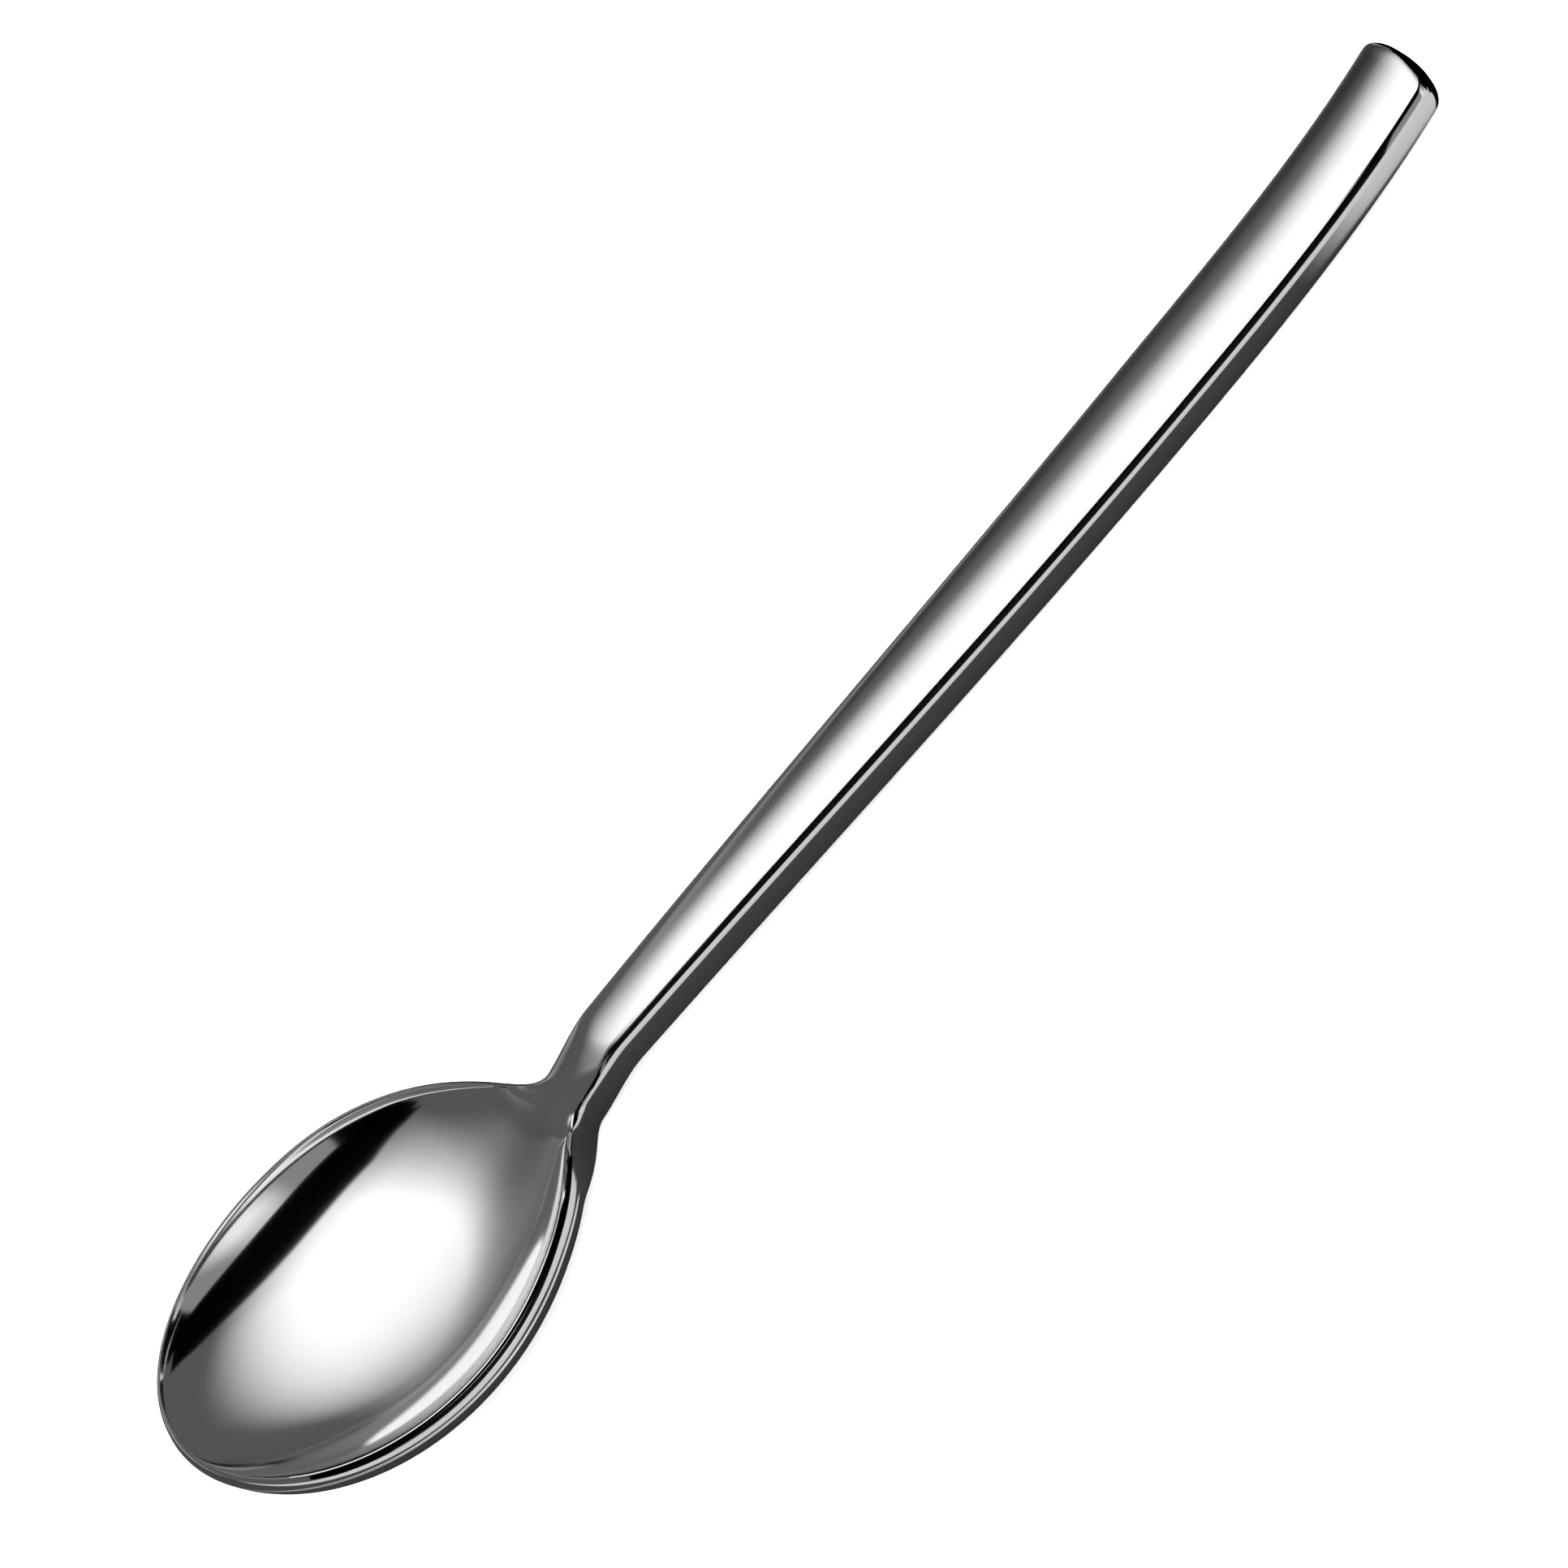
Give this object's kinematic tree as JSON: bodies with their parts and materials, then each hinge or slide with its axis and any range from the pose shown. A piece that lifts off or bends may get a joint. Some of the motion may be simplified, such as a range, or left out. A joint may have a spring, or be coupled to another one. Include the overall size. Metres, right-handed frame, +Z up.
{
  "type": "coffee spoon",
  "caption": "Polished one-piece coffee spoon with an egg-shaped bowl, a short waisted neck and a straight handle that widens to a turned-up, rounded end.",
  "frame": {"origin": "on the surface that the spoon lies on, halfway along its length and midway across its width", "axes": "+X from the bowl's tip to the handle's end, +Y across the spoon, +Z up out of the bowl"},
  "size_m": [0.1396, 0.0278, 0.0117],
  "materials": {
    "steel": "mirror-polished stainless steel"
  },
  "bodies": {
    "root": {"spoon": "steel"}
  },
  "joints": []
}
